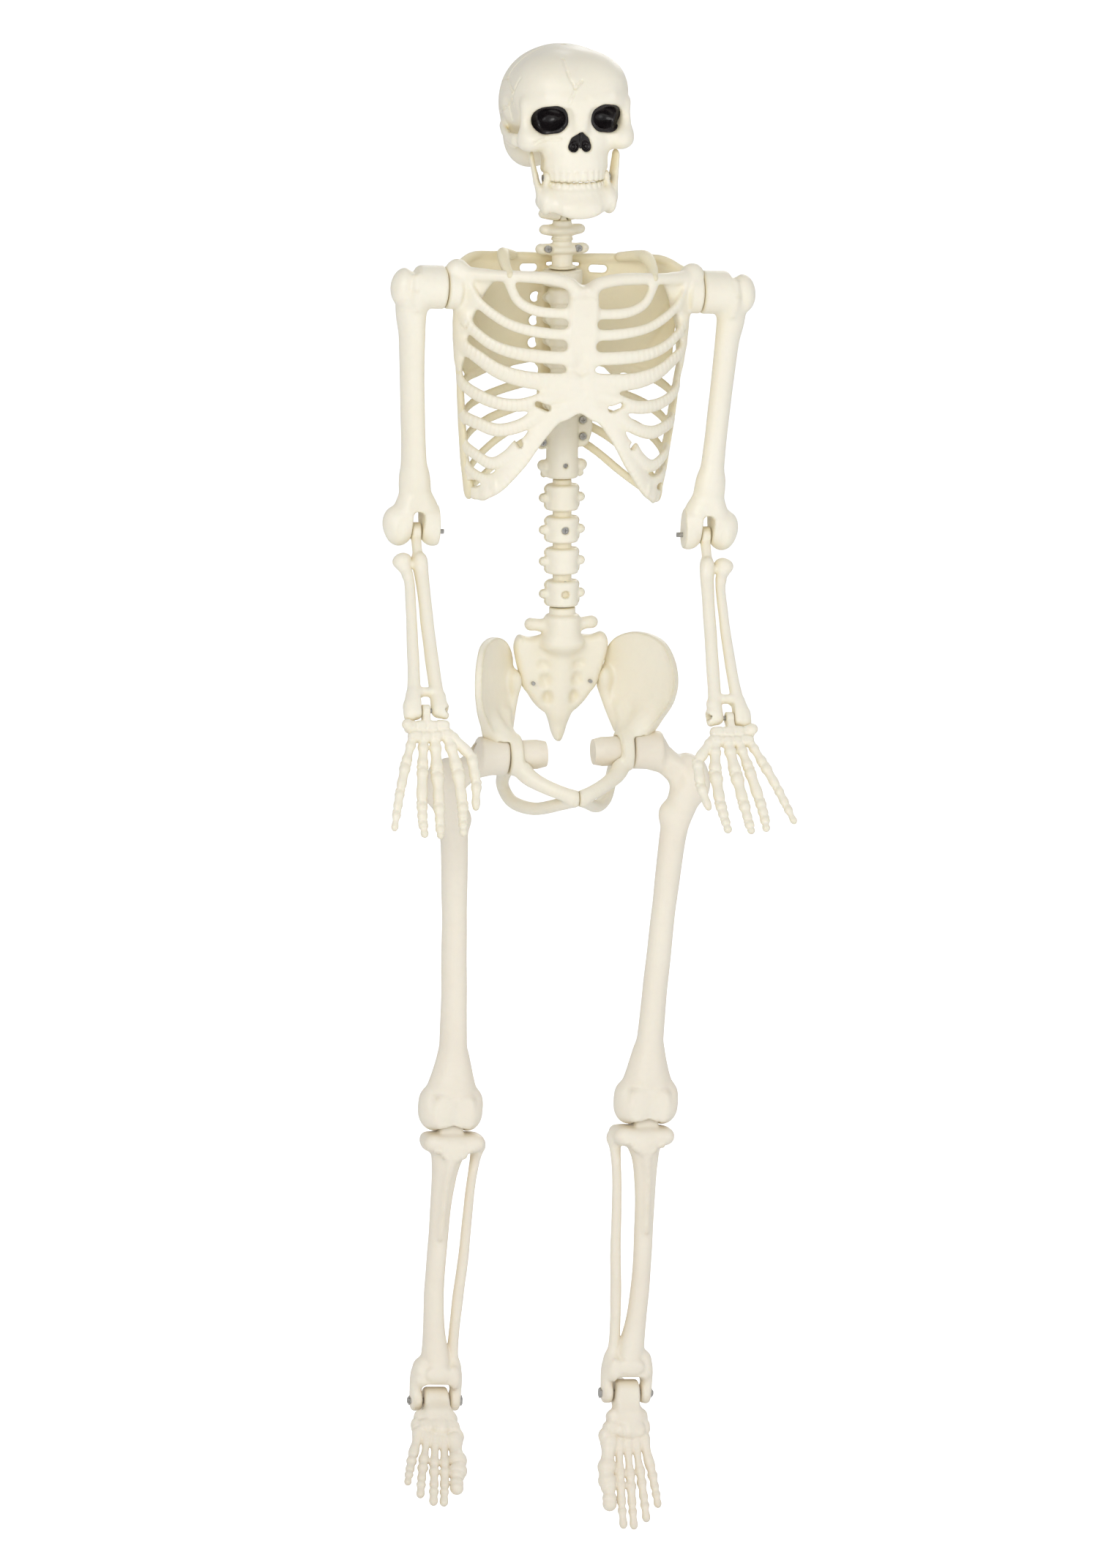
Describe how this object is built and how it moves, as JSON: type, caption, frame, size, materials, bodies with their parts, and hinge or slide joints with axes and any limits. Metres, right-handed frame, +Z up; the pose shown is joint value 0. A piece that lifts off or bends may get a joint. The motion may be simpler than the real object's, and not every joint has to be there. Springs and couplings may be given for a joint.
{
  "type": "posable halloween skeleton figure",
  "caption": "Hanging, posable plastic skeleton decoration with a moving jaw, head, waist, arms, hands, legs and feet.",
  "frame": {"origin": "mouth of the hanging hole in the crown of the skull", "axes": "+Z up out of the crown, -Y the way the face looks, +X the left side of the figure"},
  "size_m": [0.4206, 0.3017, 1.5299],
  "materials": {
    "ivory": "satin blow-moulded plastic",
    "warm_ivory": "satin blow-moulded plastic, slightly pinker",
    "aged_ivory": "satin moulded plastic, yellower",
    "gloss_black": "gloss",
    "steel": "zinc plated"
  },
  "bodies": {
    "skull": {"skull_front": "ivory", "skull_rear": "ivory", "eye_nose_insert": "gloss_black", "atlas": "ivory", "head_pin": "steel", "jaw_screws": "steel"},
    "jaw": {"jaw": "ivory"},
    "neck": {"neck_front": "ivory", "neck_rear": "ivory", "neck_screws": "steel"},
    "torso": {"ribcage_front": "ivory", "ribcage_rear": "aged_ivory", "ribcage_screws": "steel", "thoracic_front": "ivory", "thoracic_rear": "ivory", "shoulder_socket_left": "ivory", "shoulder_socket_right": "ivory", "lumbar_front": "ivory", "lumbar_rear": "ivory", "lumbar_screws": "steel"},
    "pelvis": {"sacrum": "ivory", "hip_bone_left": "ivory", "hip_bone_right": "ivory", "pelvis_screws": "steel"},
    "upper_arm_left": {"shoulder_hub_left": "ivory", "humerus_left": "ivory", "elbow_pin_left": "steel"},
    "forearm_left": {"forearm_left": "ivory", "wrist_pin_left": "steel"},
    "hand_left": {"hand_left": "ivory"},
    "thigh_left": {"hip_hub_left": "ivory", "femur_left": "warm_ivory", "hip_screw_left": "steel", "knee_pin_left": "steel"},
    "shin_left": {"shin_left": "warm_ivory", "ankle_bolt_left": "steel", "ankle_nut_left": "steel"},
    "foot_left": {"foot_left": "warm_ivory"},
    "upper_arm_right": {"shoulder_hub_right": "ivory", "humerus_right": "ivory", "elbow_pin_right": "steel"},
    "forearm_right": {"forearm_right": "ivory", "wrist_pin_right": "steel"},
    "hand_right": {"hand_right": "ivory"},
    "thigh_right": {"hip_hub_right": "ivory", "femur_right": "warm_ivory", "hip_screw_right": "steel", "knee_pin_right": "steel"},
    "shin_right": {"shin_right": "warm_ivory", "ankle_bolt_right": "steel", "ankle_nut_right": "steel"},
    "foot_right": {"foot_right": "warm_ivory"}
  },
  "joints": [
    {"name": "jaw_hinge", "type": "hinge", "parent": "skull", "child": "jaw", "pos_m": [0, -0.052, -0.129], "axis": [1, 0, 0], "range_deg": [0, 15]},
    {"name": "head_nod", "type": "hinge", "parent": "skull", "child": "neck", "pos_m": [0, 0.006, -0.174], "axis": [1, 0, 0], "range_deg": [-12, 12]},
    {"name": "neck_turn", "type": "hinge", "parent": "neck", "child": "torso", "pos_m": [0, 0.006, -0.23], "axis": [0, 0, 1], "range_deg": [-50, 50]},
    {"name": "waist_twist", "type": "hinge", "parent": "torso", "child": "pelvis", "pos_m": [0, 0.006, -0.578], "axis": [0, 0, 1], "range_deg": [-30, 30]},
    {"name": "shoulder_left", "type": "hinge", "parent": "torso", "child": "upper_arm_left", "pos_m": [0.13811, -0.022, -0.25513], "axis": [0.9986, 0, -0.0523], "range_deg": [-150, 8]},
    {"name": "elbow_left", "type": "hinge", "parent": "upper_arm_left", "child": "forearm_left", "pos_m": [0.143, -0.022, -0.50572], "axis": [-0.9986, 0, 0.0523], "range_deg": [-6, 95]},
    {"name": "wrist_left", "type": "hinge", "parent": "forearm_left", "child": "hand_left", "pos_m": [0.14197, -0.12552, -0.6782], "axis": [-0.9986, 0, 0.0523], "range_deg": [-45, 45]},
    {"name": "hip_left", "type": "hinge", "parent": "pelvis", "child": "thigh_left", "pos_m": [0.078, -0.024, -0.725], "axis": [1, 0, 0], "range_deg": [-48, 25]},
    {"name": "knee_left", "type": "hinge", "parent": "thigh_left", "child": "shin_left", "pos_m": [0.0816, -0.02, -1.09682], "axis": [0.9983, 0, -0.0576], "range_deg": [0, 100]},
    {"name": "ankle_left", "type": "hinge", "parent": "shin_left", "child": "foot_left", "pos_m": [0.06222, -0.015, -1.39821], "axis": [-0.9983, 0, 0.0576], "range_deg": [-5, 60]},
    {"name": "shoulder_right", "type": "hinge", "parent": "torso", "child": "upper_arm_right", "pos_m": [-0.12952, -0.022, -0.2411], "axis": [0.9986, 0, -0.0523], "range_deg": [-150, 8]},
    {"name": "elbow_right", "type": "hinge", "parent": "upper_arm_right", "child": "forearm_right", "pos_m": [-0.16058, -0.022, -0.48981], "axis": [-0.9986, 0, 0.0523], "range_deg": [-6, 95]},
    {"name": "wrist_right", "type": "hinge", "parent": "forearm_right", "child": "hand_right", "pos_m": [-0.17729, -0.1344, -0.6558], "axis": [-0.9986, 0, 0.0523], "range_deg": [-45, 45]},
    {"name": "hip_right", "type": "hinge", "parent": "pelvis", "child": "thigh_right", "pos_m": [-0.078, -0.024, -0.725], "axis": [1, 0, 0], "range_deg": [-48, 25]},
    {"name": "knee_right", "type": "hinge", "parent": "thigh_right", "child": "shin_right", "pos_m": [-0.12431, -0.02, -1.09395], "axis": [0.9983, 0, -0.0576], "range_deg": [0, 100]},
    {"name": "ankle_right", "type": "hinge", "parent": "shin_right", "child": "foot_right", "pos_m": [-0.1397, -0.015, -1.39556], "axis": [-0.9983, 0, 0.0576], "range_deg": [-20, 40]}
  ]
}
